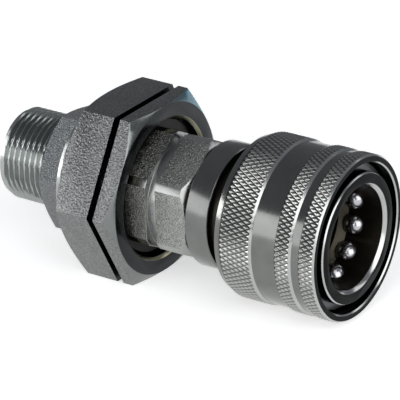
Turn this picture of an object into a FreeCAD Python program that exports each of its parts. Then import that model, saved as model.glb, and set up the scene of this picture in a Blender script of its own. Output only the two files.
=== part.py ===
import FreeCAD, Part
import math
import os

# A female hydraulic quick coupler on a bulkhead adaptor, in millimetres.
# The axis lies along X, with the mouth towards +X. The origin is on the axis, on the face of
# the rear nut that bears on the panel. Z is up, and a flat of each nut faces straight down.

# Clearances between pieces that slide, screw or seat together
slide_clearance = 0.05
thread_clearance = 0.03
stop_clearance = 0.1
seal_clearance = 0.05

# Tube end of the bulkhead adaptor
stub_radius = 11.0
stub_length = 13.9
stub_chamfer = 0.6
stub_relief_length = 1.2
stub_relief_depth = 1.0
tube_radius = 7.5
tube_cone_flare = 1.0
tube_cone_half_angle = 12.0
tube_stop_depth = 7.0
flow_bore_radius = 6.0

# Rear hexagon and threaded collar of the adaptor
rear_hex_flats = 27.0
rear_hex_length = 6.2
rear_hex_corner_angle = 7.8
collar_radius = 16.5
collar_behind_nut = 3.9
collar_chamfer = 0.6

# Metric thread of the tube end and the collar
thread_pitch = 1.5
thread_depth_ratio = 0.6134
thread_crest_ratio = 0.125
thread_root_ratio = 0.25

# Spigot of the adaptor, screwed into the hexagon body
spigot_radius = 10.47
spigot_length = 8.8
spigot_chamfer = 0.7
spigot_seal_section = 0.8

# Panel nuts
nut_wall = 4.0
rear_nut_thickness = 10.0
lock_nut_thickness = 4.1
nut_chamfer_angle = 27.0
nut_bore_chamfer = 0.7
panel_gap = 1.7
lock_nut_grip = 1.9

# Hexagon body
tail_wall = 2.0
tail_corner_height = 1.55
tail_corner_angle = 27.6
tail_rear_land = 5.8
tail_groove_width = 2.6
tail_groove_depth = 0.4
tail_front_land = 8.1
tail_end_drop = 0.1
tail_chamfer_angle = 40.0

# Socket body
socket_tail_wall = 1.87
socket_thread_length = 7.1
socket_thread_gap = 0.2
joint_relief = 0.5
joint_face_height = 1.53
barrel_drop = 0.55
barrel_length = 6.1
barrel_chamfer = 0.3
neck_depth = 1.35
neck_length = 2.5
spring_neck_drop = 1.2
guide_bore_radius = 12.0
guide_bore_depth = 11.3
socket_wall = 3.3
mouth_chamfer = 0.75
seal_bore_step = 1.7
seal_bore_length = 8.5
seal_groove_setback = 1.8
throat_step = 2.7
throat_length = 2.5
seat_width = 2.0

# Rubber rings
nipple_ring_section = 1.15
backup_ring_width = 1.2
seal_groove_depth = 2.4
joint_ring_section = 0.5
joint_ring_setback = 0.8

# Locking sleeve
sleeve_rear_gap = 4.1
sleeve_length = 26.5
sleeve_rim_wall = 1.95
sleeve_rear_wall = 2.05
sleeve_cone_length = 2.5
rear_knurl_length = 6.7
wide_band_length = 7.0
middle_knurl_length = 3.6
narrow_band_length = 2.6
band_recess = 0.55
band_chamfer = 0.45
sleeve_rim_chamfer = 0.5
spring_room = 0.75
sleeve_mouth_gap = 2.15
locking_land_length = 2.7
release_ramp_length = 4.5
release_ramp_slope = 0.32
release_ramp_lead = 0.45

# Locking balls
ball_radius = 2.58
ball_count = 12
ball_setback = 8.2
ball_first_angle = 14.5

# Rings and springs round the socket body
stop_ring_setback = 0.8
stop_ring_thickness = 1.2
stop_ring_depth = 0.6
stop_ring_slot = 3.0
sleeve_spring_wire = 1.1
sleeve_spring_turns = 5.0
coil_runs = 16
retaining_ring_thickness = 1.1
retaining_ring_depth = 0.8
retaining_ring_height = 1.6
retaining_ring_slot = 4.0

# Valve inside the socket body
seat_gap = 0.35
poppet_side_gap = 1.0
poppet_head_thickness = 4.0
poppet_nose_setback = 0.4
poppet_stem_radius = 2.8
poppet_stem_tail = 1.0
poppet_seal_section = 0.7
poppet_seal_inset = 0.65
poppet_seal_proud = 0.2
poppet_spring_wire = 1.2
poppet_spring_radius = 5.4
poppet_spring_turns = 3.0
guide_thickness = 3.0
guide_hub_radius = 4.0
guide_hub_length = 2.0
guide_hole_radius = 1.3
guide_rim = 0.6
guide_hole_count = 6
circlip_setback = 1.5
circlip_thickness = 1.2
circlip_depth = 0.7
circlip_height = 1.5
circlip_slot = 5.0

# Radii, worked outward from the guide bore that takes the male half
seal_bore_radius = guide_bore_radius - seal_bore_step
throat_radius = seal_bore_radius - throat_step
chamber_radius = throat_radius + seat_width
socket_thread_radius = chamber_radius + socket_tail_wall
ball_zone_radius = guide_bore_radius + socket_wall
barrel_radius = ball_zone_radius - barrel_drop
neck_radius = barrel_radius - neck_depth
spring_neck_radius = ball_zone_radius - spring_neck_drop
sleeve_chamber_radius = ball_zone_radius + spring_room
sleeve_rear_radius = sleeve_chamber_radius + sleeve_rear_wall
sleeve_mouth_radius = ball_zone_radius + sleeve_mouth_gap
sleeve_radius = sleeve_mouth_radius + sleeve_rim_wall
locking_land_radius = ball_zone_radius + slide_clearance
ball_circle_radius = ball_zone_radius - ball_radius
seal_groove_radius = seal_bore_radius + seal_groove_depth
poppet_head_radius = chamber_radius - poppet_side_gap
poppet_seal_radius = poppet_head_radius - poppet_seal_inset
guide_hole_circle = chamber_radius - guide_rim - guide_hole_radius
nut_bore_radius = collar_radius + thread_clearance
nut_flats = 2 * (collar_radius + nut_wall)
port_radius = spigot_radius + thread_clearance
spigot_seal_radius = spigot_radius + seal_clearance + spigot_seal_section
tail_thread_radius = socket_thread_radius + thread_clearance
tail_flats = 2 * (tail_thread_radius + tail_wall)
tail_corner_radius = tail_flats / 2 + tail_corner_height
tail_groove_radius = tail_flats / 2 - tail_groove_depth
tail_end_radius = tail_flats / 2 - tail_end_drop
joint_face_radius = socket_thread_radius + joint_face_height
joint_groove_radius = socket_thread_radius - 2 * joint_ring_section
joint_ring_radius = joint_groove_radius + joint_ring_section

# Places along the axis
rear_nut_x = -rear_nut_thickness
collar_rear_x = rear_nut_x - collar_behind_nut
rear_hex_x = collar_rear_x - rear_hex_length
stub_end_x = rear_hex_x - stub_length
lock_nut_x = panel_gap
lock_nut_front_x = lock_nut_x + lock_nut_thickness
collar_front_x = lock_nut_x + lock_nut_grip
spigot_end_x = collar_front_x + spigot_length
tail_groove_x = collar_front_x + tail_rear_land
tail_groove_front_x = tail_groove_x + tail_groove_width
tail_front_x = tail_groove_front_x + tail_front_land
socket_rear_x = tail_front_x - socket_thread_length
barrel_x = tail_front_x + joint_relief
barrel_front_x = barrel_x + barrel_length
neck_front_x = barrel_front_x + neck_length
sleeve_rear_x = barrel_front_x + sleeve_rear_gap
mouth_x = sleeve_rear_x + sleeve_length
ball_x = mouth_x - ball_setback
ramp_x = ball_x - release_ramp_lead
land_rear_x = ramp_x - locking_land_length
counterbore_x = ramp_x + release_ramp_length
ball_zone_x = land_rear_x + stop_clearance
stop_ring_x = sleeve_rear_x + stop_ring_setback
stop_ring_front_x = stop_ring_x + stop_ring_thickness
retaining_ring_x = counterbore_x + stop_clearance
retaining_ring_front_x = retaining_ring_x + retaining_ring_thickness
guide_bore_x = mouth_x - guide_bore_depth
seal_bore_x = guide_bore_x - seal_bore_length
seal_groove_front_x = guide_bore_x - seal_groove_setback
backup_ring_x = seal_groove_front_x - backup_ring_width
nipple_ring_x = backup_ring_x - nipple_ring_section - seal_clearance
seal_groove_x = nipple_ring_x - nipple_ring_section - seal_clearance
throat_x = seal_bore_x - throat_length
seat_x = throat_x - (chamber_radius - throat_radius)
circlip_x = socket_rear_x + circlip_setback
guide_x = circlip_x + circlip_thickness
guide_front_x = guide_x + guide_thickness
hub_front_x = guide_front_x + guide_hub_length
poppet_cone_x = seat_x + chamber_radius - poppet_head_radius - seat_gap
poppet_rear_x = poppet_cone_x - poppet_head_thickness
poppet_nose_x = seal_bore_x - poppet_nose_setback
joint_groove_front_x = tail_front_x - joint_ring_setback
joint_groove_x = joint_groove_front_x - 2 * joint_ring_section - seal_clearance
joint_ring_x = (joint_groove_x + joint_groove_front_x) / 2

axis_point = FreeCAD.Vector(0, 0, 0)
axis_way = FreeCAD.Vector(1, 0, 0)
reach = 3 * sleeve_radius


def turned(outline):
    """A solid turned about the axis from its outline of (x, radius) points."""
    corners = [FreeCAD.Vector(x, radius, 0) for x, radius in outline]
    wire = Part.makePolygon(corners + corners[:1])
    return Part.Face(wire).revolve(axis_point, axis_way, 360)


def rod(radius, rear_x, front_x):
    """A round bar along the axis."""
    return Part.makeCylinder(radius, front_x - rear_x, FreeCAD.Vector(rear_x, 0, 0), axis_way)


def tube(outer_radius, inner_radius, rear_x, front_x):
    """A plain ring or tube along the axis."""
    return rod(outer_radius, rear_x, front_x).cut(rod(inner_radius, rear_x, front_x))


def hexagon(flats, rear_x, front_x, corner_angle):
    """A hexagon bar along the axis, with one corner turned up from -Y by corner_angle."""
    corner_radius = flats / math.sqrt(3)
    corners = []
    for step in range(6):
        angle = math.radians(corner_angle + 60 * step)
        across_y = -corner_radius * math.cos(angle)
        across_z = corner_radius * math.sin(angle)
        corners.append(FreeCAD.Vector(rear_x, across_y, across_z))
    wire = Part.makePolygon(corners + corners[:1])
    return Part.Face(wire).extrude(FreeCAD.Vector(front_x - rear_x, 0, 0))


def round_ring(circle_radius, section_radius, x):
    """A ring of round section, such as an O-ring."""
    return Part.makeTorus(circle_radius, section_radius, FreeCAD.Vector(x, 0, 0), axis_way)


def split(ring, slot):
    """A spring ring cut through at the top, so that it can be opened and fitted."""
    box = ring.BoundBox
    corner = FreeCAD.Vector(box.XMin, -slot / 2, 0)
    return ring.cut(Part.makeBox(box.XLength, slot, reach, corner))


def coil(wire, circle_radius, turns, rear_x, front_x):
    """A compression spring wound about the axis between two faces, in short straight runs."""
    rear_centre = rear_x + wire / 2 + seal_clearance
    height = front_x - rear_x - wire - 2 * seal_clearance
    runs = round(turns * coil_runs)
    points = []
    for step in range(runs + 1):
        angle = 360 * turns * step / runs
        along = FreeCAD.Vector(rear_centre + height * step / runs, 0, 0)
        points.append(along + across(angle) * circle_radius)
    section = Part.Wire(Part.makeCircle(wire / 2, points[0], points[1] - points[0]))
    square_corners = 1
    return Part.makePolygon(points).makePipeShell([section], True, False, square_corners)


def across(angle):
    """The direction straight out from the axis at an angle turned up from -Y."""
    return FreeCAD.Vector(0, -math.cos(math.radians(angle)), math.sin(math.radians(angle)))


def ball_angles():
    """The angle of each locking ball round the axis."""
    return [ball_first_angle + step * 360 / ball_count for step in range(ball_count)]


def hex_chamfer(flats, face_x, inward, angle):
    """What remains of a hexagon bar after its end at face_x is turned to a cone."""
    edge_radius = flats / 2
    fall = (reach - edge_radius) * math.tan(math.radians(angle))
    deep_x = face_x + inward * reach
    return turned([
        (face_x, 0),
        (face_x, edge_radius),
        (face_x + inward * fall, reach),
        (deep_x, reach),
        (deep_x, 0),
    ])


def thread_outline(crest_radius, rear_x, front_x):
    """The outline of a thread between two places, each of its turns a ring at the pitch."""
    crest = thread_pitch * thread_crest_ratio
    root = thread_pitch * thread_root_ratio
    flank = (thread_pitch - crest - root) / 2
    root_radius = crest_radius - thread_pitch * thread_depth_ratio
    turns = math.floor((front_x - rear_x - crest) / thread_pitch)
    first_x = (rear_x + front_x - turns * thread_pitch) / 2
    points = [(rear_x, crest_radius)]
    for step in range(turns):
        groove_x = first_x + step * thread_pitch + crest / 2
        points.append((groove_x, crest_radius))
        points.append((groove_x + flank, root_radius))
        points.append((groove_x + flank + root, root_radius))
        points.append((groove_x + 2 * flank + root, crest_radius))
    return points + [(front_x, crest_radius)]


# The bulkhead adaptor is turned from one bar: tube end, hexagon, collar and spigot
def make_bulkhead_adaptor():
    tube_bore = tube_radius + slide_clearance
    cone_length = tube_cone_flare / math.tan(math.radians(tube_cone_half_angle))
    stop_x = stub_end_x + tube_stop_depth
    relief_x = rear_hex_x - stub_relief_length
    relief_radius = stub_radius - stub_relief_depth
    seal_root = spigot_radius
    seal_outer = spigot_seal_radius + spigot_seal_section + seal_clearance
    seal_floor_x = collar_front_x - 2 * spigot_seal_section
    stub = turned([
        (stub_end_x, 0),
        (stub_end_x, stub_radius - stub_chamfer),
        *thread_outline(stub_radius, stub_end_x + stub_chamfer, relief_x),
        (relief_x, relief_radius),
        (rear_hex_x, relief_radius),
        (rear_hex_x, 0),
    ])
    hexagon_bar = hexagon(rear_hex_flats, rear_hex_x, collar_rear_x, rear_hex_corner_angle)
    hexagon_bar = hexagon_bar.common(hex_chamfer(rear_hex_flats, rear_hex_x, 1, nut_chamfer_angle))
    collar = turned([
        (collar_rear_x, 0),
        (collar_rear_x, collar_radius - collar_chamfer),
        *thread_outline(collar_radius, collar_rear_x + collar_chamfer, collar_front_x - collar_chamfer),
        (collar_front_x, collar_radius - collar_chamfer),
        (collar_front_x, seal_outer),
        (seal_floor_x, seal_outer),
        (seal_floor_x, seal_root),
        (spigot_end_x - spigot_chamfer, seal_root),
        (spigot_end_x, seal_root - spigot_chamfer),
        (spigot_end_x, 0),
    ])
    passage = turned([
        (stub_end_x, 0),
        (stub_end_x, tube_bore + tube_cone_flare),
        (stub_end_x + cone_length, tube_bore),
        (stop_x, tube_bore),
        (stop_x, flow_bore_radius),
        (spigot_end_x, flow_bore_radius),
        (spigot_end_x, 0),
    ])
    return stub.fuse([hexagon_bar, collar]).cut(passage).removeSplitter()


# Both nuts are cut from hexagon bar and tapped. One end of each is turned to a cone.
def make_nut(rear_x, front_x, coned_x, inward):
    nut = hexagon(nut_flats, rear_x, front_x, 0)
    nut = nut.common(hex_chamfer(nut_flats, coned_x, inward, nut_chamfer_angle))
    bore = turned([
        (rear_x, 0),
        (rear_x, nut_bore_radius + nut_bore_chamfer),
        (rear_x + nut_bore_chamfer, nut_bore_radius),
        (front_x - nut_bore_chamfer, nut_bore_radius),
        (front_x, nut_bore_radius + nut_bore_chamfer),
        (front_x, 0),
    ])
    return nut.cut(bore)


# The hexagon body joins adaptor and socket, and has a groove for a panel clip
def make_hexagon_body():
    bar = hexagon(tail_flats, collar_front_x, tail_front_x, tail_corner_angle)
    cone_fall = (tail_corner_radius - tail_end_radius) * math.tan(math.radians(tail_chamfer_angle))
    envelope = turned([
        (collar_front_x, 0),
        (collar_front_x, tail_corner_radius),
        (tail_groove_x, tail_corner_radius),
        (tail_groove_x, tail_groove_radius),
        (tail_groove_front_x, tail_groove_radius),
        (tail_groove_front_x, tail_corner_radius),
        (tail_front_x - cone_fall, tail_corner_radius),
        (tail_front_x, tail_end_radius),
        (tail_front_x, 0),
    ])
    step_x = socket_rear_x - socket_thread_gap
    passage = turned([
        (collar_front_x, 0),
        (collar_front_x, port_radius),
        (step_x, port_radius),
        (step_x, tail_thread_radius),
        (tail_front_x, tail_thread_radius),
        (tail_front_x, 0),
    ])
    return bar.common(envelope).cut(passage)


# The socket body is turned from bar, with a ring of pockets for the locking balls
def make_socket_body():
    stop_groove_radius = spring_neck_radius - stop_ring_depth
    ring_groove_radius = ball_zone_radius - retaining_ring_depth
    outside = turned([
        (socket_rear_x, 0),
        (socket_rear_x, socket_thread_radius),
        (joint_groove_x, socket_thread_radius),
        (joint_groove_x, joint_groove_radius),
        (joint_groove_front_x, joint_groove_radius),
        (joint_groove_front_x, socket_thread_radius),
        (tail_front_x, socket_thread_radius),
        (tail_front_x, joint_face_radius),
        (barrel_x, joint_face_radius),
        (barrel_x, barrel_radius - barrel_chamfer),
        (barrel_x + barrel_chamfer, barrel_radius),
        (barrel_front_x - barrel_chamfer, barrel_radius),
        (barrel_front_x, barrel_radius - barrel_chamfer),
        (barrel_front_x, neck_radius),
        (neck_front_x, neck_radius),
        (neck_front_x, spring_neck_radius),
        (stop_ring_x, spring_neck_radius),
        (stop_ring_x, stop_groove_radius),
        (stop_ring_front_x, stop_groove_radius),
        (stop_ring_front_x, spring_neck_radius),
        (ball_zone_x, spring_neck_radius),
        (ball_zone_x, ball_zone_radius),
        (retaining_ring_x, ball_zone_radius),
        (retaining_ring_x, ring_groove_radius),
        (retaining_ring_front_x, ring_groove_radius),
        (retaining_ring_front_x, ball_zone_radius),
        (mouth_x - barrel_chamfer, ball_zone_radius),
        (mouth_x, ball_zone_radius - barrel_chamfer),
        (mouth_x, 0),
    ])
    circlip_groove_radius = chamber_radius + circlip_depth
    passage = turned([
        (socket_rear_x, 0),
        (socket_rear_x, chamber_radius),
        (circlip_x, chamber_radius),
        (circlip_x, circlip_groove_radius),
        (guide_x, circlip_groove_radius),
        (guide_x, chamber_radius),
        (seat_x, chamber_radius),
        (throat_x, throat_radius),
        (seal_bore_x, throat_radius),
        (seal_bore_x, seal_bore_radius),
        (seal_groove_x, seal_bore_radius),
        (seal_groove_x, seal_groove_radius),
        (seal_groove_front_x, seal_groove_radius),
        (seal_groove_front_x, seal_bore_radius),
        (guide_bore_x, seal_bore_radius),
        (guide_bore_x + guide_bore_radius - seal_bore_radius, guide_bore_radius),
        (mouth_x - mouth_chamfer, guide_bore_radius),
        (mouth_x, guide_bore_radius + mouth_chamfer),
        (mouth_x, 0),
    ])
    socket = outside.cut(passage)
    pockets = []
    for angle in ball_angles():
        centre = FreeCAD.Vector(ball_x, 0, 0) + across(angle) * ball_circle_radius
        pocket_radius = ball_radius + slide_clearance
        pockets.append(Part.makeSphere(pocket_radius, centre))
        pockets.append(Part.makeCylinder(pocket_radius, reach, centre, across(angle)))
    return socket.cut(pockets)


# The locking sleeve is turned from bar. Its raised bands carry the knurling.
def make_locking_sleeve():
    rear_knurl_x = sleeve_rear_x + sleeve_cone_length
    wide_band_x = rear_knurl_x + rear_knurl_length
    middle_knurl_x = wide_band_x + wide_band_length
    narrow_band_x = middle_knurl_x + middle_knurl_length
    front_knurl_x = narrow_band_x + narrow_band_length
    band_radius = sleeve_radius - band_recess
    shoulder_radius = sleeve_radius - band_chamfer
    ramp_top_radius = locking_land_radius + release_ramp_slope * release_ramp_length
    return turned([
        (sleeve_rear_x, sleeve_chamber_radius),
        (sleeve_rear_x, sleeve_rear_radius),
        (rear_knurl_x, shoulder_radius),
        (rear_knurl_x + band_chamfer, sleeve_radius),
        (wide_band_x - band_chamfer, sleeve_radius),
        (wide_band_x, shoulder_radius),
        (wide_band_x, band_radius),
        (middle_knurl_x, band_radius),
        (middle_knurl_x, shoulder_radius),
        (middle_knurl_x + band_chamfer, sleeve_radius),
        (narrow_band_x - band_chamfer, sleeve_radius),
        (narrow_band_x, shoulder_radius),
        (narrow_band_x, band_radius),
        (front_knurl_x, band_radius),
        (front_knurl_x, shoulder_radius),
        (front_knurl_x + band_chamfer, sleeve_radius),
        (mouth_x - sleeve_rim_chamfer, sleeve_radius),
        (mouth_x, sleeve_radius - sleeve_rim_chamfer),
        (mouth_x, sleeve_mouth_radius),
        (counterbore_x, sleeve_mouth_radius),
        (counterbore_x, ramp_top_radius),
        (ramp_x, locking_land_radius),
        (land_rear_x, locking_land_radius),
        (land_rear_x, sleeve_chamber_radius),
    ])


# Each locking ball sits in its pocket and is held in by the land of the sleeve
def make_locking_ball(angle):
    centre = FreeCAD.Vector(ball_x, 0, 0) + across(angle) * ball_circle_radius
    return Part.makeSphere(ball_radius, centre)


# The stop ring carries the rear end of the sleeve spring
def make_stop_ring():
    inner_radius = spring_neck_radius - stop_ring_depth
    outer_radius = sleeve_chamber_radius - 2 * slide_clearance
    return split(tube(outer_radius, inner_radius, stop_ring_x, stop_ring_front_x), stop_ring_slot)


# The retaining ring keeps the sleeve from leaving the socket at the front
def make_retaining_ring():
    inner_radius = ball_zone_radius - retaining_ring_depth
    outer_radius = ball_zone_radius + retaining_ring_height
    ring = tube(outer_radius, inner_radius, retaining_ring_x, retaining_ring_front_x)
    return split(ring, retaining_ring_slot)


# The sleeve spring pushes the sleeve forward, from the stop ring to the land's shoulder
def make_sleeve_spring():
    circle_radius = (spring_neck_radius + sleeve_chamber_radius) / 2
    return coil(sleeve_spring_wire, circle_radius, sleeve_spring_turns, stop_ring_front_x, land_rear_x)


# The poppet closes the flow path until the other half of the coupling pushes it back
def make_poppet():
    stem_end_x = guide_x - poppet_stem_tail
    nose_radius = poppet_head_radius - (poppet_nose_x - poppet_cone_x)
    poppet = turned([
        (stem_end_x, 0),
        (stem_end_x, poppet_stem_radius),
        (poppet_rear_x, poppet_stem_radius),
        (poppet_rear_x, poppet_head_radius),
        (poppet_cone_x, poppet_head_radius),
        (poppet_nose_x, nose_radius),
        (poppet_nose_x, 0),
    ])
    return poppet.cut(make_poppet_seal())


# The poppet's seal is a rubber ring moulded into its cone
def make_poppet_seal():
    inset = (poppet_seal_section - poppet_seal_proud) / math.sqrt(2)
    cone_x = poppet_cone_x + poppet_head_radius - poppet_seal_radius
    return round_ring(poppet_seal_radius - inset, poppet_seal_section, cone_x - inset)


# The poppet spring stands between the guide and the back of the poppet
def make_poppet_spring():
    return coil(poppet_spring_wire, poppet_spring_radius, poppet_spring_turns, guide_front_x, poppet_rear_x)


# The valve guide carries the poppet's stem and lets oil past through a ring of holes
def make_valve_guide():
    disc = rod(chamber_radius - thread_clearance, guide_x, guide_front_x)
    hub = rod(guide_hub_radius, guide_x, hub_front_x)
    stem_hole = rod(poppet_stem_radius + slide_clearance, guide_x, hub_front_x)
    cuts = [stem_hole]
    for step in range(guide_hole_count):
        centre = FreeCAD.Vector(guide_x, 0, 0) + across(step * 360 / guide_hole_count) * guide_hole_circle
        cuts.append(Part.makeCylinder(guide_hole_radius, guide_thickness, centre, axis_way))
    return disc.fuse(hub).cut(cuts).removeSplitter()


# The circlip holds the valve guide against the push of the spring
def make_guide_circlip():
    outer_radius = chamber_radius + circlip_depth
    inner_radius = chamber_radius - circlip_height
    return split(tube(outer_radius, inner_radius, circlip_x, guide_x), circlip_slot)


# Rubber and plastic rings in their grooves
def make_spigot_seal():
    return round_ring(spigot_seal_radius, spigot_seal_section, collar_front_x - spigot_seal_section)


def make_body_joint_ring():
    return round_ring(joint_ring_radius, joint_ring_section, joint_ring_x)


def make_nipple_ring():
    circle_radius = seal_groove_radius - seal_clearance - nipple_ring_section
    return round_ring(circle_radius, nipple_ring_section, nipple_ring_x)


def make_backup_ring():
    outer_radius = seal_groove_radius - seal_clearance
    inner_radius = seal_bore_radius + seal_clearance
    return tube(outer_radius, inner_radius, backup_ring_x, seal_groove_front_x)


os.makedirs("parts", exist_ok=True)
pieces = {
    "bulkhead_adaptor": make_bulkhead_adaptor(),
    "rear_panel_nut": make_nut(rear_nut_x, 0, rear_nut_x, 1),
    "front_lock_nut": make_nut(lock_nut_x, lock_nut_front_x, lock_nut_front_x, -1),
    "hexagon_body": make_hexagon_body(),
    "socket_body": make_socket_body(),
    "locking_sleeve": make_locking_sleeve(),
    "sleeve_stop_ring": make_stop_ring(),
    "sleeve_spring": make_sleeve_spring(),
    "sleeve_retaining_ring": make_retaining_ring(),
    "valve_poppet": make_poppet(),
    "poppet_seal": make_poppet_seal(),
    "poppet_spring": make_poppet_spring(),
    "valve_guide": make_valve_guide(),
    "guide_circlip": make_guide_circlip(),
    "spigot_seal": make_spigot_seal(),
    "body_joint_ring": make_body_joint_ring(),
    "nipple_o_ring": make_nipple_ring(),
    "nipple_backup_ring": make_backup_ring(),
}
for number, angle in enumerate(ball_angles(), start=1):
    pieces[f"locking_ball_{number:02d}"] = make_locking_ball(angle)
for node, shape in pieces.items():
    shape.exportStep(f"parts/{node}.step")
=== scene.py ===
import math
import bpy
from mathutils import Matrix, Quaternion, Vector


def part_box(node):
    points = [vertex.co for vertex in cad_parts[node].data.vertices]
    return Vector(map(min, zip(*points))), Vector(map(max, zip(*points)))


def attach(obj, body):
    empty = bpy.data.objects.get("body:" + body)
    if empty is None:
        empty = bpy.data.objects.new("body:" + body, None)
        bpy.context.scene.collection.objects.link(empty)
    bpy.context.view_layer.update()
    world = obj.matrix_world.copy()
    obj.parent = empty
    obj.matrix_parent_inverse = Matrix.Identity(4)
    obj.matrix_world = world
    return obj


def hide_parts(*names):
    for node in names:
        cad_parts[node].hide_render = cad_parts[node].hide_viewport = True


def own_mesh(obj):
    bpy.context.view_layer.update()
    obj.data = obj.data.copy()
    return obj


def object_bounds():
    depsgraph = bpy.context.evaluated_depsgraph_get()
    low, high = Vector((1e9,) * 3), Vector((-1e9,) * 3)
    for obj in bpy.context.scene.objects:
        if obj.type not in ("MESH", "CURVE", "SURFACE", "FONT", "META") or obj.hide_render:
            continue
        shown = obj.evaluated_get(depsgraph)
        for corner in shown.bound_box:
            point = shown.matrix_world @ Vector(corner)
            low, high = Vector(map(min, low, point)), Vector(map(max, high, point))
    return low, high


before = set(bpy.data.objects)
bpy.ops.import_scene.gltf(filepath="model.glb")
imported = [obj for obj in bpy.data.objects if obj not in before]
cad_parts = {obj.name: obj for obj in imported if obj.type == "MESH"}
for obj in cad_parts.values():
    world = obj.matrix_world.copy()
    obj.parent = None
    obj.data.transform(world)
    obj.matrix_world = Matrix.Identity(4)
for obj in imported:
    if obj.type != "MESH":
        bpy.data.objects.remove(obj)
cad_low, cad_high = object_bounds()

# Camera
# It looks down on the coupler from its front side and from beyond the mouth, through a long lens
# about 0.7 m away, so that the mouth stands to the right and nearer than the tube end.
camera_azimuth = math.radians(33.55)
camera_elevation = math.radians(24.52)
camera_roll = math.radians(-0.57)
camera_distance = 0.735
camera_aim = Vector((0.0167, 0.0, 0.0))
camera_aim_right = -0.00126
camera_aim_up = -0.00031
camera_back = Vector((
    math.sin(camera_azimuth) * math.cos(camera_elevation),
    -math.cos(camera_azimuth) * math.cos(camera_elevation),
    math.sin(camera_elevation),
))
level_right = Vector((math.cos(camera_azimuth), math.sin(camera_azimuth), 0.0))
camera_roll_turn = Quaternion(camera_back, camera_roll)
camera_right = camera_roll_turn @ level_right
camera_up = camera_back.cross(camera_right)
camera_target = camera_aim + camera_right * camera_aim_right + camera_up * camera_aim_up
bpy.ops.object.camera_add(location=camera_target + camera_back * camera_distance)
camera = bpy.context.object
camera.rotation_mode = "QUATERNION"
camera.rotation_quaternion = camera_roll_turn @ (-camera_back).to_track_quat("-Z", "Y")
camera.data.sensor_width = 36.0
camera.data.lens = 289.3
camera.data.clip_start = 0.01
bpy.context.scene.camera = camera


# Studio
# A white paper floor under the nuts, a dim grey room and six soft boxes. The front left box draws
# the bright bands on the turned steel, and the others light the knurl, the mouth and the far edges.
def linear(code):
    """The linear colour of an sRGB hex value such as #c0c0bc."""
    values = [int(code[place:place + 2], 16) / 255 for place in (1, 3, 5)]
    curve = [v / 12.92 if v <= 0.04045 else ((v + 0.055) / 1.055) ** 2.4 for v in values]
    return (*curve, 1.0)


def add_node(material, kind, settings=None, inputs=None, links=None):
    """Adds a node with its settings, socket values and links from other nodes' sockets."""
    node = material.node_tree.nodes.new(kind)
    for name, value in (settings or {}).items():
        setattr(node, name, value)
    for socket, value in (inputs or {}).items():
        node.inputs[socket].default_value = value
    for socket, source in (links or {}).items():
        material.node_tree.links.new(source, node.inputs[socket])
    return node


def new_material(name):
    """An empty node material and its output node."""
    material = bpy.data.materials.new(name)
    material.use_nodes = True
    material.node_tree.nodes.clear()
    output = material.node_tree.nodes.new("ShaderNodeOutputMaterial")
    return material, output


floor_size = 12.0
floor_colour = "#f4f4f3"
floor_lift = 0.5
bpy.ops.object.select_all(action="DESELECT")
bpy.ops.mesh.primitive_plane_add(size=floor_size, location=(0, 0, cad_low.z))
floor = bpy.context.object
floor.name = "floor"
bpy.ops.object.transform_apply(location=True, rotation=False, scale=False)
# White paper: matt and even, lifted to white for the camera and for mirrors, with the shadow kept.
paper, paper_output = new_material("white_paper")
path = add_node(paper, "ShaderNodeLightPath")
seen = add_node(paper, "ShaderNodeMath", {"operation": "MAXIMUM"},
                links={0: path.outputs["Is Camera Ray"], 1: path.outputs["Is Glossy Ray"]})
seen = add_node(paper, "ShaderNodeMath", {"operation": "MAXIMUM"},
                links={0: seen.outputs[0], 1: path.outputs["Is Transmission Ray"]})
lift = add_node(paper, "ShaderNodeMath", {"operation": "MULTIPLY"}, {1: floor_lift}, {0: seen.outputs[0]})
matt = add_node(paper, "ShaderNodeBsdfDiffuse", inputs={"Color": linear(floor_colour)})
glow = add_node(paper, "ShaderNodeEmission", inputs={"Color": (1, 1, 1, 1)},
                links={"Strength": lift.outputs[0]})
both = add_node(paper, "ShaderNodeAddShader", links={0: matt.outputs[0], 1: glow.outputs[0]})
paper.node_tree.links.new(both.outputs[0], paper_output.inputs["Surface"])
floor.data.materials.append(paper)

room_colour = "#6a6c70"
room_strength = 1.6
room = bpy.data.worlds.new("dim_room")
room.use_nodes = True
room_light = room.node_tree.nodes["Background"]
room_light.inputs["Color"].default_value = linear(room_colour)
room_light.inputs["Strength"].default_value = room_strength
bpy.context.scene.world = room

lamp_aim = Vector((0.012, 0.0, 0.0))


def soft_box(name, place, width, height, watts):
    """A rectangular soft box that faces the coupler."""
    bpy.ops.object.light_add(type="AREA", location=place)
    lamp = bpy.context.object
    lamp.name = name
    lamp.data.shape = "RECTANGLE"
    lamp.data.size = width
    lamp.data.size_y = height
    lamp.data.energy = watts
    lamp.rotation_mode = "QUATERNION"
    lamp.rotation_quaternion = (lamp_aim - Vector(place)).to_track_quat("-Z", "Y")


soft_box("front_left_box", (-0.55, -0.86, 0.24), width=0.75, height=0.52, watts=2.7)
soft_box("left_box", (-0.94, -0.36, 0.12), width=0.40, height=0.30, watts=2.2)
soft_box("front_box", (0.25, -0.95, 0.48), width=0.45, height=1.00, watts=4.6)
soft_box("right_box", (0.95, -0.25, 0.33), width=0.90, height=0.75, watts=5.0)
soft_box("top_right_box", (0.55, -0.40, 0.80), width=0.50, height=0.50, watts=1.0)
soft_box("rear_right_box", (0.75, 0.85, 0.55), width=0.60, height=0.30, watts=0.7)
bpy.context.scene.view_settings.view_transform = "Standard"


# Bulkhead adaptor
# Turned from one steel bar and zinc plated: the M22 tube end, a hexagon that was shot-blasted
# before plating, and the M33 collar that the two panel nuts run on.
mm = 0.001
# In millimetres: points nearer than weld_gap are merged, and places nearer than touch count as one.
weld_gap = 0.002
touch = 0.02


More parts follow.
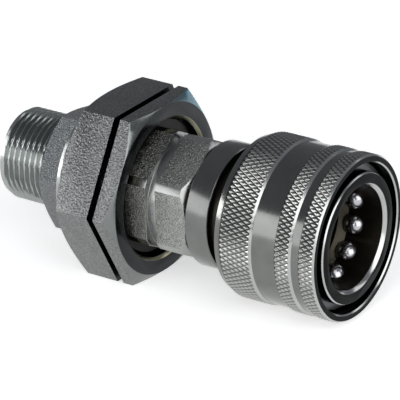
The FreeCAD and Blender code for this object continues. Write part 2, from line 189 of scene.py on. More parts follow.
def turn(name, outline, steps, first_angle=0.0):
    """Draws a closed outline of (x, radius) points in millimetres and spins it about the axis."""
    way = Vector((0.0, -math.cos(math.radians(first_angle)), math.sin(math.radians(first_angle))))
    points = [Vector((x * mm, 0, 0)) + way * (radius * mm) for x, radius in outline]
    bpy.ops.object.select_all(action="DESELECT")
    bpy.ops.mesh.primitive_plane_add(size=mm, location=(0, 0, 0))
    piece = bpy.context.object
    piece.name = name
    bpy.ops.object.mode_set(mode="EDIT")
    bpy.ops.mesh.select_mode(type="VERT")
    bpy.ops.mesh.select_all(action="SELECT")
    bpy.ops.mesh.merge(type="CENTER")
    bpy.ops.transform.translate(value=points[0])
    for before, after in zip(points, points[1:] + points[:1]):
        bpy.ops.mesh.extrude_region_move(TRANSFORM_OT_translate={"value": after - before})
    bpy.ops.mesh.select_all(action="SELECT")
    bpy.ops.mesh.spin(steps=steps, angle=2 * math.pi, center=(0, 0, 0), axis=(1, 0, 0))
    bpy.ops.mesh.select_all(action="SELECT")
    bpy.ops.mesh.remove_doubles(threshold=weld_gap * mm)
    bpy.ops.mesh.normals_make_consistent(inside=False)
    bpy.ops.object.mode_set(mode="OBJECT")
    return piece


def from_axis(point):
    """How far a point lies from the coupler's axis, in millimetres."""
    return math.hypot(point.y, point.z) / mm


def carve(piece, law):
    """Moves each point in or out to the radius that law(x, radius, angle) gives, in millimetres."""
    for vertex in piece.data.vertices:
        radius = from_axis(vertex.co)
        angle = math.degrees(math.atan2(vertex.co.z, -vertex.co.y))
        share = law(vertex.co.x / mm, radius, angle) / radius
        vertex.co.y *= share
        vertex.co.z *= share


def evenly(start, end, pitch):
    """Places from start to end, about pitch apart."""
    count = max(1, round(abs(end - start) / pitch))
    return [start + (end - start) * step / count for step in range(count + 1)]


def thread_depth(x, angle, pitch):
    """How far a right-hand metric thread with a crest at x 0, angle 0 lies below its crest."""
    full_depth = 0.61 * pitch
    crest_half = 1 / 16
    root_start = 1 / 2 - 1 / 8
    turn_share = (x / pitch + angle / 360) % 1.0
    from_crest = min(turn_share, 1.0 - turn_share)
    share = (from_crest - crest_half) / (root_start - crest_half)
    return full_depth * min(1.0, max(0.0, share))


def hexagon_radius(flats, corner_angle, angle):
    """The radius of a hexagon bar at an angle."""
    from_flat = (angle - corner_angle) % 60 - 30
    return flats / 2 / math.cos(math.radians(from_flat))


def face_places(piece):
    """Each face of a piece with its middle's x and radius in millimetres."""
    for face in piece.data.polygons:
        yield face, face.center.x / mm, from_axis(face.center)


def turned_steel(name, colour, dark, rough, ring=0.14):
    """Turned steel, plated or bare: fine lines round it from the tool, ring wide, and a faint mottle."""
    ring_run = 55.6
    ring_depth = 0.02
    mottle = 4.5
    material, output = new_material(name)
    place = add_node(material, "ShaderNodeTexCoord")
    rings = add_node(material, "ShaderNodeMapping",
                     inputs={"Scale": (1 / (ring * mm), 1 / (ring_run * mm), 1 / (ring_run * mm))},
                     links={"Vector": place.outputs["Object"]})
    lines = add_node(material, "ShaderNodeTexNoise", inputs={"Scale": 1.0, "Detail": 3.0},
                     links={"Vector": rings.outputs[0]})
    cloud = add_node(material, "ShaderNodeTexNoise", inputs={"Scale": 1 / (mottle * mm), "Detail": 4.0},
                     links={"Vector": place.outputs["Object"]})
    tone = add_node(material, "ShaderNodeMix", {"data_type": "RGBA"},
                    {"A": linear(dark), "B": linear(colour)}, {"Factor": cloud.outputs[0]})
    polish = add_node(material, "ShaderNodeMapRange",
                      inputs={"To Min": rough - 0.07, "To Max": rough + 0.09},
                      links={"Value": lines.outputs[0]})
    bump = add_node(material, "ShaderNodeBump", inputs={"Strength": 0.35, "Distance": ring_depth * mm},
                    links={"Height": lines.outputs[0]})
    steel = add_node(material, "ShaderNodeBsdfPrincipled", inputs={"Metallic": 1.0},
                     links={"Base Color": tone.outputs[2], "Roughness": polish.outputs[0],
                            "Normal": bump.outputs[0]})
    material.node_tree.links.new(steel.outputs[0], output.inputs["Surface"])
    return material


def grained_zinc(name, colour, dark, grain, height, rough):
    """Zinc over a blasted or forged skin: a pebbled grain of the given width that sparkles."""
    material, output = new_material(name)
    place = add_node(material, "ShaderNodeTexCoord")
    pebble = add_node(material, "ShaderNodeTexNoise", inputs={"Scale": 1 / (grain * mm), "Detail": 2.5},
                      links={"Vector": place.outputs["Object"]})
    cells = add_node(material, "ShaderNodeTexVoronoi", {"feature": "SMOOTH_F1"},
                     {"Scale": 0.8 / (grain * mm), "Smoothness": 0.6}, {"Vector": place.outputs["Object"]})
    relief = add_node(material, "ShaderNodeMath", {"operation": "SUBTRACT"},
                      links={0: pebble.outputs[0], 1: cells.outputs["Distance"]})
    worn = add_node(material, "ShaderNodeMapRange", inputs={"From Min": 0.34, "From Max": 0.66},
                    links={"Value": pebble.outputs[0]})
    tone = add_node(material, "ShaderNodeMix", {"data_type": "RGBA"},
                    {"A": linear(dark), "B": linear(colour)}, {"Factor": worn.outputs[0]})
    bump = add_node(material, "ShaderNodeBump", inputs={"Strength": 0.9, "Distance": height * mm},
                    links={"Height": relief.outputs[0]})
    polish = add_node(material, "ShaderNodeMapRange",
                      inputs={"To Min": rough - 0.08, "To Max": rough + 0.1},
                      links={"Value": cells.outputs["Distance"]})
    steel = add_node(material, "ShaderNodeBsdfPrincipled", inputs={"Metallic": 1.0},
                     links={"Base Color": tone.outputs[2], "Roughness": polish.outputs[0],
                            "Normal": bump.outputs[0]})
    material.node_tree.links.new(steel.outputs[0], output.inputs["Surface"])
    return material


def smooth(piece, angle):
    """Rounds the shading of a finished piece, apart from edges sharper than angle."""
    bpy.ops.object.select_all(action="DESELECT")
    piece.select_set(True)
    bpy.context.view_layer.objects.active = piece
    bpy.ops.object.shade_smooth_by_angle(angle=math.radians(angle))


adaptor_low, adaptor_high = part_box("bulkhead_adaptor")
adaptor_steps = 180
thread_pitch = 1.5
thread_rows = thread_pitch / 12
stub_end = adaptor_low.x / mm
stub_radius = 11.0
stub_length = 13.9
stub_chamfer = 0.6
stub_crest = stub_end + 1.48
tube_radius = 7.55
tube_cone_flare = 1.0
tube_cone_end = stub_end + 4.7
tube_stop = stub_end + 7.0
flow_radius = 6.0
relief_length = 1.2
relief_radius = 10.0
relief_slope = 0.2
rear_hex_start = stub_end + stub_length
rear_hex_length = 6.2
rear_hex_flat = 13.5
rear_hex_corner = 7.8
rear_hex_cone = math.tan(math.radians(27))
rear_hex_cone_length = 1.4
rear_hex_cone_rows = 0.07
rear_hex_margin = 0.2
relief_start = rear_hex_start - relief_length
collar_start = rear_hex_start + rear_hex_length
collar_radius = adaptor_high.z / mm
collar_chamfer = 0.6
collar_crest = collar_start + 1.33
collar_shade_margin = 0.1
spigot_end = adaptor_high.x / mm
spigot_radius = 10.4
spigot_length = 8.8
collar_end = spigot_end - spigot_length
stub_places = evenly(stub_end + stub_chamfer, relief_start, thread_rows)
cone_places = evenly(rear_hex_start, rear_hex_start + rear_hex_cone_length, rear_hex_cone_rows)
collar_places = evenly(collar_start + collar_chamfer, collar_end - collar_chamfer, thread_rows)
adaptor_outline = [(stub_end, tube_radius + tube_cone_flare), (stub_end, stub_radius - stub_chamfer)]
adaptor_outline += [(x, stub_radius) for x in stub_places]
adaptor_outline += [(relief_start + relief_slope, relief_radius), (rear_hex_start, relief_radius)]
adaptor_outline += [(x, rear_hex_flat) for x in cone_places]
adaptor_outline += [(collar_start, rear_hex_flat), (collar_start, collar_radius - collar_chamfer)]
adaptor_outline += [(x, collar_radius) for x in collar_places]
adaptor_outline += [(collar_end, collar_radius - collar_chamfer), (collar_end, spigot_radius)]
adaptor_outline += [(spigot_end, spigot_radius), (spigot_end, flow_radius)]
adaptor_outline += [(tube_stop, flow_radius), (tube_stop, tube_radius), (tube_cone_end, tube_radius)]


def adaptor_law(x, radius, angle):
    """Cuts both threads and the hexagon into the adaptor, and leaves its bore and spigot round."""
    if radius < relief_radius:
        return radius
    if x < relief_start + touch:
        return min(radius, stub_radius - thread_depth(x - stub_crest, angle, thread_pitch))
    if abs(radius - rear_hex_flat) < touch:
        cone = rear_hex_flat + (x - rear_hex_start) / rear_hex_cone
        return min(hexagon_radius(2 * rear_hex_flat, rear_hex_corner, angle), cone)
    if radius > rear_hex_flat:
        return min(radius, collar_radius - thread_depth(x - collar_crest, angle, thread_pitch))
    return radius


adaptor = turn("bulkhead_adaptor_threaded", adaptor_outline, adaptor_steps, rear_hex_corner)
carve(adaptor, adaptor_law)
smooth(adaptor, angle=24)
# Bright zinc on the cut threads: each crest and flank carries a clean highlight.
thread_steel = turned_steel("turned_zinc_thread", "#b3b6b4", "#8e9291", rough=0.17)
# Zinc over shot-blasted bar: a fine grey sparkle.
blasted_steel = grained_zinc("shot_blasted_zinc", "#8b8e90", "#4a4c4d",
                             grain=0.22, height=0.13, rough=0.28)
# From the collar's front end on, the steel is painted almost black: painted shade of the recess it sits in.
recess_shade_steel = turned_steel("painted_shade_collar_face", "#1d1c1a", "#121110", rough=0.3)
finishes = [thread_steel, blasted_steel, recess_shade_steel]
for finish in finishes:
    adaptor.data.materials.append(finish)
for face, x, radius in face_places(adaptor):
    if rear_hex_start < x < collar_start and radius > rear_hex_flat - rear_hex_margin:
        face.material_index = finishes.index(blasted_steel)
    # Painted shade from the collar's front end on.
    elif x > collar_end - collar_chamfer - collar_shade_margin:
        face.material_index = finishes.index(recess_shade_steel)
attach(adaptor, "coupler")
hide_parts("bulkhead_adaptor")


# Panel nuts
# Two hexagon nuts, hot forged and zinc plated. Their six flats keep the coarse skin of the
# forging die, while the faces, the coned end and the bore are turned.
def eased_copy(node, name, width):
    """A copy of a solid with its sharp edges eased by width, in millimetres."""
    solid_weld_gap = 0.001
    flat_angle = 0.5
    edge_angle = 22
    bpy.ops.object.select_all(action="DESELECT")
    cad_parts[node].select_set(True)
    bpy.context.view_layer.objects.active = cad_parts[node]
    bpy.ops.object.duplicate()
    piece = bpy.context.object
    piece.name = name
    # The copy is a piece of the scene, so it drops the solid's own marks.
    for key in list(piece.keys()):
        del piece[key]
    piece.parent = None
    piece.data = piece.data.copy()
    piece.data.materials.clear()
    bpy.ops.object.mode_set(mode="EDIT")
    bpy.ops.mesh.select_all(action="SELECT")
    bpy.ops.mesh.remove_doubles(threshold=solid_weld_gap * mm)
    bpy.ops.mesh.dissolve_limited(angle_limit=math.radians(flat_angle))
    bpy.ops.object.mode_set(mode="OBJECT")
    bevel = piece.modifiers.new("eased_edges", "BEVEL")
    bevel.width = width * mm
    bevel.segments = 2
    bevel.limit_method = "ANGLE"
    bevel.angle_limit = math.radians(edge_angle)
    bpy.ops.object.modifier_apply(modifier=bevel.name)
    smooth(piece, angle=20)
    return piece


def painted_blue_sheen(material, amount):
    """Tints a finish blue on the upper far side of the nut: a painted blue reflection."""
    sheen_colour = "#3a90ad"
    sheen_way = (0.0, 0.75, 0.66)
    sheen_start = 14
    sheen_full = 23
    shader = next(node for node in material.node_tree.nodes if node.type == "BSDF_PRINCIPLED")
    base = shader.inputs["Base Color"].links[0].from_socket
    place = add_node(material, "ShaderNodeTexCoord")
    lean = add_node(material, "ShaderNodeVectorMath", {"operation": "DOT_PRODUCT"}, {1: sheen_way},
                    {0: place.outputs["Object"]})
    share = add_node(material, "ShaderNodeMapRange",
                     inputs={"From Min": sheen_start * mm, "From Max": sheen_full * mm, "To Max": amount},
                     links={"Value": lean.outputs["Value"]})
    blue_sheen = add_node(material, "ShaderNodeMix", {"data_type": "RGBA"}, {"B": linear(sheen_colour)},
                    {"Factor": share.outputs[0], "A": base})
    material.node_tree.links.new(blue_sheen.outputs[2], shader.inputs["Base Color"])


# Zinc over the forging's skin: pebbled, with bright and dark specks.
forged_steel = grained_zinc("forged_zinc_flats", "#868787", "#575858",
                            grain=0.35, height=0.11, rough=0.3)
# The bearing faces are turned and painted dark, with a soft sheen: a painted dark reflection.
nut_face_steel = turned_steel("painted_dark_nut_face", "#36393b", "#25282a", rough=0.2, ring=0.25)
# The tapped thread is painted dark: painted shade inside the nut's bore.
nut_tapped_steel = turned_steel("painted_shade_nut_thread", "#34332f", "#1d1c1a", rough=0.3)
# The chamfer at the thread's mouth is painted pale yellow and bright: a painted highlight round the bore.
nut_lead_in_steel = turned_steel("painted_highlight_lead_in", "#a8a58f", "#85826f", rough=0.22)
nut_edge = 0.12
nut_thread_clearance = 0.03
nut_bore = collar_radius + nut_thread_clearance
nut_lead_in = 0.7
nut_flat_margin = 1.5
nut_bore_margin = 0.05
# A face is a side or an end by how far its normal leans along the axis.
side_lean = 0.2
end_lean = 0.97
for node, body, blue_sheen in (("rear_panel_nut", "rear_nut", 0.0), ("front_lock_nut", "lock_nut", 0.6)):
    nut_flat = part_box(node)[1].z / mm
    nut = eased_copy(node, node + "_eased", nut_edge)
    # Bright zinc on the turned cone: a cool grey shine, with a painted blue reflection on the lock nut's
    # upper far side.
    nut_steel = turned_steel("turned_zinc_" + body, "#868988", "#6c706f", rough=0.22, ring=0.2)
    if blue_sheen:
        painted_blue_sheen(nut_steel, blue_sheen)
    finishes = [nut_steel, forged_steel, nut_face_steel, nut_tapped_steel, nut_lead_in_steel]
    for finish in finishes:
        nut.data.materials.append(finish)
    for face, x, radius in face_places(nut):
        if abs(face.normal.x) < side_lean and radius > nut_flat - nut_flat_margin:
            face.material_index = finishes.index(forged_steel)
        elif abs(face.normal.x) > end_lean:
            face.material_index = finishes.index(nut_face_steel)
        elif radius < nut_bore + nut_bore_margin:
            face.material_index = finishes.index(nut_tapped_steel)
        elif radius < nut_bore + nut_lead_in:
            face.material_index = finishes.index(nut_lead_in_steel)
    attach(nut, body)
    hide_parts(node)


# Hexagon body
# Cut from drawn hexagon bar that was blasted before plating, so its flats glitter finely. The
# corners, the clip groove and the coned front end are turned bright.
hexagon_edge = 0.08
hexagon_flat = 13.5
hexagon_flat_lean = 0.01
hexagon_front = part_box("hexagon_body")[1].x / mm
hexagon = eased_copy("hexagon_body", "hexagon_body_eased", hexagon_edge)
# Zinc over blasted bar: fine glitter on a darker ground.
bar_steel = grained_zinc("blasted_zinc_bar", "#acada9", "#646563",
                         grain=0.2, height=0.14, rough=0.26)
# Bright zinc on the turned corners and groove: clear, light grey bands.
band_steel = turned_steel("turned_zinc_bands", "#a9aaa8", "#888a89", rough=0.22)
finishes = [band_steel, bar_steel]
for finish in finishes:
    hexagon.data.materials.append(finish)
for face, x, radius in face_places(hexagon):
    flat_way = Vector((0, face.center.y, face.center.z)).dot(face.normal) / mm
    if abs(face.normal.x) < hexagon_flat_lean and abs(flat_way - hexagon_flat) < touch:
        face.material_index = finishes.index(bar_steel)
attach(hexagon, "coupler")
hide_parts("hexagon_body")


# Socket body
# Turned from bar and hardened. The barrel behind the sleeve is bright zinc; the front face and
# the bore are painted dark, as a painted dark reflection on the face and painted shade in the bore.
def dark_satin_steel(name, colour, dark, rough):
    """Turned steel in a given dark colour: satin, with fine turning rings and less shine at a low angle."""
    material = turned_steel(name, colour, dark, rough, ring=0.1)
    shader = next(node for node in material.node_tree.nodes if node.type == "BSDF_PRINCIPLED")
    shader.inputs["Specular Tint"].default_value = linear("#d8d8d8")
    return material


socket_edge = 0.1
socket = eased_copy("socket_body", "socket_body_eased", socket_edge)
# Bright zinc on the smooth barrel: soft mirror bands along its length.
barrel_steel = turned_steel("turned_zinc_barrel", "#7e7f7d", "#656766", rough=0.18, ring=0.16)
# Painted near black with a satin sheen: a painted dark reflection on the front face, and painted shade on
# the front part under the sleeve.
mouth_steel = dark_satin_steel("painted_dark_mouth", "#1b1c1d", "#111213", rough=0.25)
# The bore is painted dark and slightly brown: painted shade inside it.
bore_steel = dark_satin_steel("painted_shade_bore", "#433f37", "#292721", rough=0.34)
# The undercut neck, under the sleeve and just behind it, is painted dull and dark: painted shade in the
# groove.
neck_steel = dark_satin_steel("painted_shade_neck", "#34322d", "#1f1e1b", rough=0.3)
# Edges painted brighter than the steel beside them: painted highlight lines round the mouth, on the sleeve's
# rim and after each knurled band.
edge_steel = turned_steel("painted_highlight_edge", "#bcbdbb", "#9c9e9d", rough=0.18)
finishes = [barrel_steel, mouth_steel, bore_steel, neck_steel, edge_steel]
for finish in finishes:
    socket.data.materials.append(finish)
mouth = cad_high.x / mm
mouth_edge_length = 1.3
mouth_edge_lean = 0.3
mouth_face_margin = 0.1
dark_length = 12.0
guide_bore = 12.0
guide_bore_margin = 0.3
barrel_length = 6.6
barrel_front = hexagon_front + barrel_length
for face, x, radius in face_places(socket):
    if x > mouth - mouth_edge_length and mouth_edge_lean < abs(face.normal.x) < end_lean:
        face.material_index = finishes.index(edge_steel)
    elif x > mouth - mouth_face_margin:
        face.material_index = finishes.index(mouth_steel)
    elif radius < guide_bore + guide_bore_margin:
        face.material_index = finishes.index(bore_steel)
    elif x > mouth - dark_length:
        face.material_index = finishes.index(mouth_steel)
    elif x > barrel_front - touch:
        face.material_index = finishes.index(neck_steel)
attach(socket, "coupler")
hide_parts("socket_body")


# Locking sleeve
# Turned from bar, diamond knurled in three bands for grip, then zinc plated. It slides on the
# socket against its spring, and its land holds the balls in.
sleeve_low, sleeve_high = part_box("locking_sleeve")
sleeve_rear = sleeve_low.x / mm
sleeve_front = sleeve_high.x / mm
sleeve_radius = sleeve_high.z / mm
rear_radius = 18.1
rear_edge_length = 0.15
rear_edge_rise = 0.18
cone_radius = 18.82
band_recess = 0.55
band_radius = sleeve_radius - band_recess
rim_chamfer = 0.5
rim_bore = 17.45
rim_bore_chamfer = 0.3
rim_bore_margin = 0.15
rim_bore_length = 4.15
ramp_length = 4.5
ramp_radius = 16.79
land_length = 2.7
land_radius = 15.35
spring_room_radius = 16.05
ramp_front = sleeve_front - rim_bore_length
land_front = ramp_front - ramp_length
land_rear = land_front - land_length
knurl_count = 96
knurl_helix = math.radians(30)
knurl_steps = 2 * knurl_count
knurl_half_pitch = math.pi * sleeve_radius / knurl_count
knurl_row = knurl_half_pitch / math.tan(knurl_helix)
knurl_depth = 0.44
knurl_flat = 0.2
knurl_ease = 0.2
knurl_chamfer = 0.65
knurl_chamfer_zone = 1.0
knurl_soft_depth = 0.15
knurl_root = sleeve_radius - knurl_depth
# Each knurled band: its rear wall, first row and last row, from the sleeve's rear end.
knurl_bands = [(1.65, 2.5, 9.55), (16.2, 16.55, 19.8), (22.4, 22.75, 25.95)]
knurl_walls = [sleeve_rear + wall for wall, first, last in knurl_bands]
knurl_rows = [
    evenly(sleeve_rear + first, sleeve_rear + last, knurl_row)
    for wall, first, last in knurl_bands
]
sleeve_outline = [(sleeve_rear, spring_room_radius), (sleeve_rear, rear_radius)]
sleeve_outline += [(sleeve_rear + rear_edge_length, rear_radius + rear_edge_rise)]
for wall, rows in zip(knurl_walls, knurl_rows):
    if rows is knurl_rows[0]:
        sleeve_outline += [(wall, cone_radius)]
    else:
        sleeve_outline += [(wall, band_radius), (wall, knurl_root)]
    sleeve_outline += [(x, sleeve_radius) for x in rows]
    sleeve_outline += [(rows[-1] + knurl_ease, sleeve_radius - knurl_ease)]
    if rows is not knurl_rows[-1]:
        sleeve_outline += [(rows[-1] + knurl_chamfer, band_radius)]
sleeve_outline += [(sleeve_front, sleeve_radius - rim_chamfer), (sleeve_front, rim_bore + rim_bore_chamfer)]
sleeve_outline += [(sleeve_front - rim_bore_chamfer, rim_bore), (ramp_front, rim_bore)]
sleeve_outline += [(ramp_front, ramp_radius), (land_front, land_radius)]
sleeve_outline += [(land_rear, land_radius), (land_rear, spring_room_radius)]


def sleeve_law(x, radius, angle):
    """Presses every other point of the knurl's rows in, so that the rest stand up as diamonds."""
    if abs(radius - sleeve_radius) > touch:
        return radius
    step = round(angle * knurl_steps / 360)
    for rows in knurl_rows:
        for row, row_x in enumerate(rows):
            if abs(x - row_x) < touch:
                return radius - knurl_depth * ((row + step) % 2)
    return radius


def at_tip(vertex):
    """Whether a point of the sleeve is the tip of a diamond."""
    return abs(from_axis(vertex.co) - sleeve_radius) < touch


sleeve = turn("locking_sleeve_knurled", sleeve_outline, knurl_steps)
carve(sleeve, sleeve_law)
bpy.ops.object.select_all(action="DESELECT")
sleeve.select_set(True)
bpy.context.view_layer.objects.active = sleeve
points = sleeve.data.vertices
for vertex in points:
    vertex.select = False
for edge in sleeve.data.edges:
    edge.select = False
for face in sleeve.data.polygons:
    face.select = any(at_tip(points[number]) for number in face.vertices)
bpy.ops.object.mode_set(mode="EDIT")
bpy.ops.mesh.select_mode(type="FACE")
bpy.ops.mesh.quads_convert_to_tris(quad_method="SHORTEST_DIAGONAL", ngon_method="BEAUTY")
bpy.ops.mesh.select_all(action="DESELECT")
bpy.ops.mesh.select_mode(type="VERT")
bpy.ops.object.mode_set(mode="OBJECT")
for vertex in sleeve.data.vertices:
    vertex.select = at_tip(vertex)
bpy.ops.object.mode_set(mode="EDIT")
bpy.ops.mesh.bevel(offset=knurl_flat * mm, affect="VERTICES", segments=1)
bpy.ops.object.mode_set(mode="OBJECT")
# Bright zinc on the knurl: glinting tips, and painted shade that darkens the grooves towards their roots.
knurl_steel = turned_steel("knurled_zinc", "#b2b3b0", "#9a9c9a", rough=0.2, ring=0.3)
groove_shade_colour = "#474643"
knurl_shader = next(node for node in knurl_steel.node_tree.nodes if node.type == "BSDF_PRINCIPLED")
knurl_tone = knurl_shader.inputs["Base Color"].links[0].from_socket
knurl_place = add_node(knurl_steel, "ShaderNodeTexCoord")
knurl_out = add_node(knurl_steel, "ShaderNodeVectorMath", {"operation": "MULTIPLY"}, {1: (0.0, 1.0, 1.0)},
                     {0: knurl_place.outputs["Object"]})
knurl_out = add_node(knurl_steel, "ShaderNodeVectorMath", {"operation": "LENGTH"},
                     links={0: knurl_out.outputs["Vector"]})
# Painted shade: darker from the tips down to the roots of the grooves.
knurl_height = add_node(knurl_steel, "ShaderNodeMapRange",
                       inputs={"From Min": knurl_root * mm, "From Max": (sleeve_radius - knurl_ease) * mm},
                       links={"Value": knurl_out.outputs["Value"]})
knurl_shaded = add_node(knurl_steel, "ShaderNodeMix", {"data_type": "RGBA"}, {"A": linear(groove_shade_colour)},
                       {"Factor": knurl_height.outputs[0], "B": knurl_tone})
knurl_steel.node_tree.links.new(knurl_shaded.outputs[2], knurl_shader.inputs["Base Color"])
# Bright zinc on the smooth bands and the cone: even mirror bands with faint turning rings.
smooth_steel = turned_steel("turned_zinc_bands_of_sleeve", "#7e7f7c", "#646665", rough=0.15, ring=0.18)
# The rim and the inside, painted dark: a painted dark reflection on the rim's face and painted shade inside.
rim_steel = dark_satin_steel("painted_dark_sleeve_rim", "#1b1c1d", "#111213", rough=0.25)
finishes = [smooth_steel, knurl_steel, rim_steel, edge_steel]
for finish in finishes:
    sleeve.data.materials.append(finish)
for face, x, radius in face_places(sleeve):
    in_knurl = any(wall < x < rows[-1] + touch for wall, rows in zip(knurl_walls, knurl_rows))
    past_knurl = any(rows[-1] < x < rows[-1] + knurl_chamfer_zone for rows in knurl_rows)
    if radius > band_radius and in_knurl:
        face.material_index = finishes.index(knurl_steel)
    # The chamfer after each knurled band gets the painted highlight edge.
    elif radius > band_radius and past_knurl:
        face.material_index = finishes.index(edge_steel)
    # The rim's inner chamfer gets the painted highlight edge.
    elif sleeve_front - rim_bore_chamfer < x < sleeve_front - touch and radius < rim_bore + rim_bore_chamfer:
        face.material_index = finishes.index(edge_steel)
    elif x > sleeve_front - touch or radius < rim_bore + rim_bore_margin:
        face.material_index = finishes.index(rim_steel)
smooth(sleeve, angle=22)
for edge in sleeve.data.edges:
    depths = [sleeve_radius - from_axis(sleeve.data.vertices[number].co) for number in edge.vertices]
    if max(depths) < knurl_soft_depth:
        edge.use_edge_sharp = False
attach(sleeve, "sleeve")
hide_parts("locking_sleeve")


# Locking balls
# Twelve ground and polished bearing-steel balls. They lie loose in the socket's pockets, where
# the sleeve's land holds them in, and each moves outward when the sleeve is drawn back.
def finish_node(node, material):
    """Gives a solid that shows as it is its finish."""
    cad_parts[node].data.materials.clear()
    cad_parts[node].data.materials.append(material)


ball_count = 12
ball_mottle = 1.2
# Polished steel: small clear glints, slightly clouded by wear.
ball_steel, ball_output = new_material("polished_bearing_steel")
ball_place = add_node(ball_steel, "ShaderNodeTexCoord")
ball_cloud = add_node(ball_steel, "ShaderNodeTexNoise",
                      inputs={"Scale": 1 / (ball_mottle * mm), "Detail": 3.0},
                      links={"Vector": ball_place.outputs["Object"]})
ball_polish = add_node(ball_steel, "ShaderNodeMapRange", inputs={"To Min": 0.16, "To Max": 0.28},
                       links={"Value": ball_cloud.outputs[0]})
ball_shader = add_node(ball_steel, "ShaderNodeBsdfPrincipled",
                       inputs={"Metallic": 1.0, "Base Color": linear("#b4b4b8")},
                       links={"Roughness": ball_polish.outputs[0]})
ball_steel.node_tree.links.new(ball_shader.outputs[0], ball_output.inputs["Surface"])
for number in range(1, ball_count + 1):
    finish_node(f"locking_ball_{number:02d}", ball_steel)


# Sleeve stop ring
# A split ring stamped from spring steel and snapped into a groove of the socket's neck. The
# sleeve's spring bears on its front face.
# Oil-tempered steel: dull grey with a weak shine.
spring_steel = turned_steel("oil_tempered_spring_steel", "#6e6f72", "#4b4c4e", rough=0.3, ring=0.3)
finish_node("sleeve_stop_ring", spring_steel)


# Sleeve retaining ring
# A second split ring of spring steel, in the recess between the mouth and the sleeve's rim. It
# stops the sleeve from coming off the front.
finish_node("sleeve_retaining_ring", spring_steel)


# Sleeve spring
# Five turns of round oil-tempered wire, wound between the stop ring and the sleeve's land. It
# pushes the sleeve forward, and it is pressed together when the sleeve is drawn back.
def wound_wire(node, wire, circle_radius, turns):
    """A coil of round wire about the axis, as long as the solid it stands for, in millimetres."""
    wire_sides = 14
    turn_steps = 40
    low_end, high_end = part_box(node)
    pitch = (high_end.x - low_end.x - wire * mm) / turns
    bpy.ops.object.select_all(action="DESELECT")
    bpy.ops.mesh.primitive_circle_add(vertices=wire_sides, radius=wire / 2 * mm, fill_type="NOTHING",
                                      location=(low_end.x + wire / 2 * mm, -circle_radius * mm, 0))
    piece = bpy.context.object
    piece.name = node + "_wound"
    bpy.ops.object.transform_apply(location=True, rotation=False, scale=False)
    coil = piece.modifiers.new("turns", "SCREW")
    coil.axis = "X"
    coil.angle = -2 * math.pi
    coil.iterations = turns
    coil.screw_offset = pitch
    coil.steps = turn_steps
    coil.render_steps = turn_steps
    coil.use_merge_vertices = False
    bpy.ops.object.modifier_apply(modifier=coil.name)
    bpy.ops.object.mode_set(mode="EDIT")
    bpy.ops.mesh.select_all(action="SELECT")
    bpy.ops.mesh.fill_holes(sides=wire_sides)
    bpy.ops.mesh.select_all(action="SELECT")
    bpy.ops.mesh.remove_doubles(threshold=weld_gap * mm)
    bpy.ops.mesh.normals_make_consistent(inside=False)
    bpy.ops.object.mode_set(mode="OBJECT")
    smooth(piece, angle=40)
    piece.data.materials.append(spring_steel)
    return piece


sleeve_spring = wound_wire("sleeve_spring", wire=1.1, circle_radius=15.075, turns=5)
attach(sleeve_spring, "coupler")
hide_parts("sleeve_spring")
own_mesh(sleeve_spring)


# Valve poppet
# A turned steel plug with a stem. It shuts the throat behind the mouth until the male half pushes
# it back off its seat.
# Bare turned steel with a trace of oil: warm grey and satin.
valve_steel = turned_steel("turned_valve_steel", "#77726a", "#55514b", rough=0.32, ring=0.12)
finish_node("valve_poppet", valve_steel)


# Valve guide
# A turned steel disc with six flow holes round a hub. It sits in the socket's tail, and the
# poppet's stem slides in the hub.
finish_node("valve_guide", valve_steel)


# Guide circlip
# A split ring of spring steel, stamped and hardened. It snaps into a groove of the socket's tail
# and holds the guide in place.
finish_node("guide_circlip", spring_steel)


# Poppet spring
# Three turns of round oil-tempered wire between the guide and the poppet's head. It shuts the
# valve, and it is pressed together when the poppet is pushed back.
poppet_spring = wound_wire("poppet_spring", wire=1.2, circle_radius=5.4, turns=3)
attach(poppet_spring, "coupler")
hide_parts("poppet_spring")
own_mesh(poppet_spring)


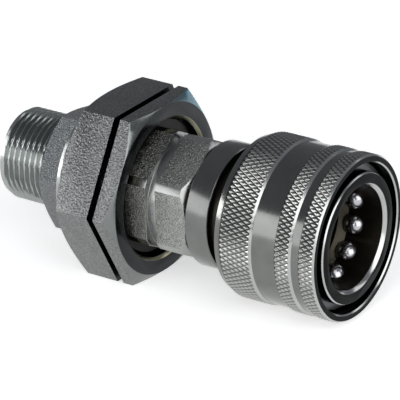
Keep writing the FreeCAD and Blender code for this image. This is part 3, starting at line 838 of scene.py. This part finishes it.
# Rubber seals
# Moulded nitrile rings: one on the poppet's cone, one in the bore round the male half, and one
# at each of the two screwed joints.
# Moulded rubber: black, with a fine grain that dulls the light, drawn coarse enough to show.
rubber_grain_width = 0.2
rubber_grain_depth = 0.02
rubber, rubber_output = new_material("moulded_nitrile_rubber")
rubber_place = add_node(rubber, "ShaderNodeTexCoord")
rubber_grain = add_node(rubber, "ShaderNodeTexNoise",
                        inputs={"Scale": 1 / (rubber_grain_width * mm), "Detail": 2.0},
                        links={"Vector": rubber_place.outputs["Object"]})
rubber_bump = add_node(rubber, "ShaderNodeBump",
                       inputs={"Strength": 0.3, "Distance": rubber_grain_depth * mm},
                       links={"Height": rubber_grain.outputs[0]})
rubber_tone = add_node(rubber, "ShaderNodeMix", {"data_type": "RGBA"},
                       {"A": linear("#161616"), "B": linear("#242424")},
                       {"Factor": rubber_grain.outputs[0]})
rubber_shader = add_node(rubber, "ShaderNodeBsdfPrincipled", inputs={"Roughness": 0.55},
                         links={"Base Color": rubber_tone.outputs[2], "Normal": rubber_bump.outputs[0]})
rubber.node_tree.links.new(rubber_shader.outputs[0], rubber_output.inputs["Surface"])
for node in ("poppet_seal", "nipple_o_ring", "spigot_seal", "body_joint_ring"):
    finish_node(node, rubber)


# Backup ring
# A flat ring skived from white fluoropolymer bar. It keeps the pressure from pushing the rubber
# ring beside it out of its groove.
# Skived plastic: milky white with faint clouds.
plastic_cloud_width = 0.8
plastic, plastic_output = new_material("skived_fluoropolymer")
plastic_place = add_node(plastic, "ShaderNodeTexCoord")
plastic_cloud = add_node(plastic, "ShaderNodeTexNoise",
                         inputs={"Scale": 1 / (plastic_cloud_width * mm), "Detail": 2.0},
                         links={"Vector": plastic_place.outputs["Object"]})
plastic_tone = add_node(plastic, "ShaderNodeMix", {"data_type": "RGBA"},
                        {"A": linear("#d6d3c9"), "B": linear("#e6e4dc")},
                        {"Factor": plastic_cloud.outputs[0]})
plastic_shader = add_node(plastic, "ShaderNodeBsdfPrincipled", inputs={"Roughness": 0.4},
                          links={"Base Color": plastic_tone.outputs[2]})
plastic.node_tree.links.new(plastic_shader.outputs[0], plastic_output.inputs["Surface"])
finish_node("nipple_backup_ring", plastic)
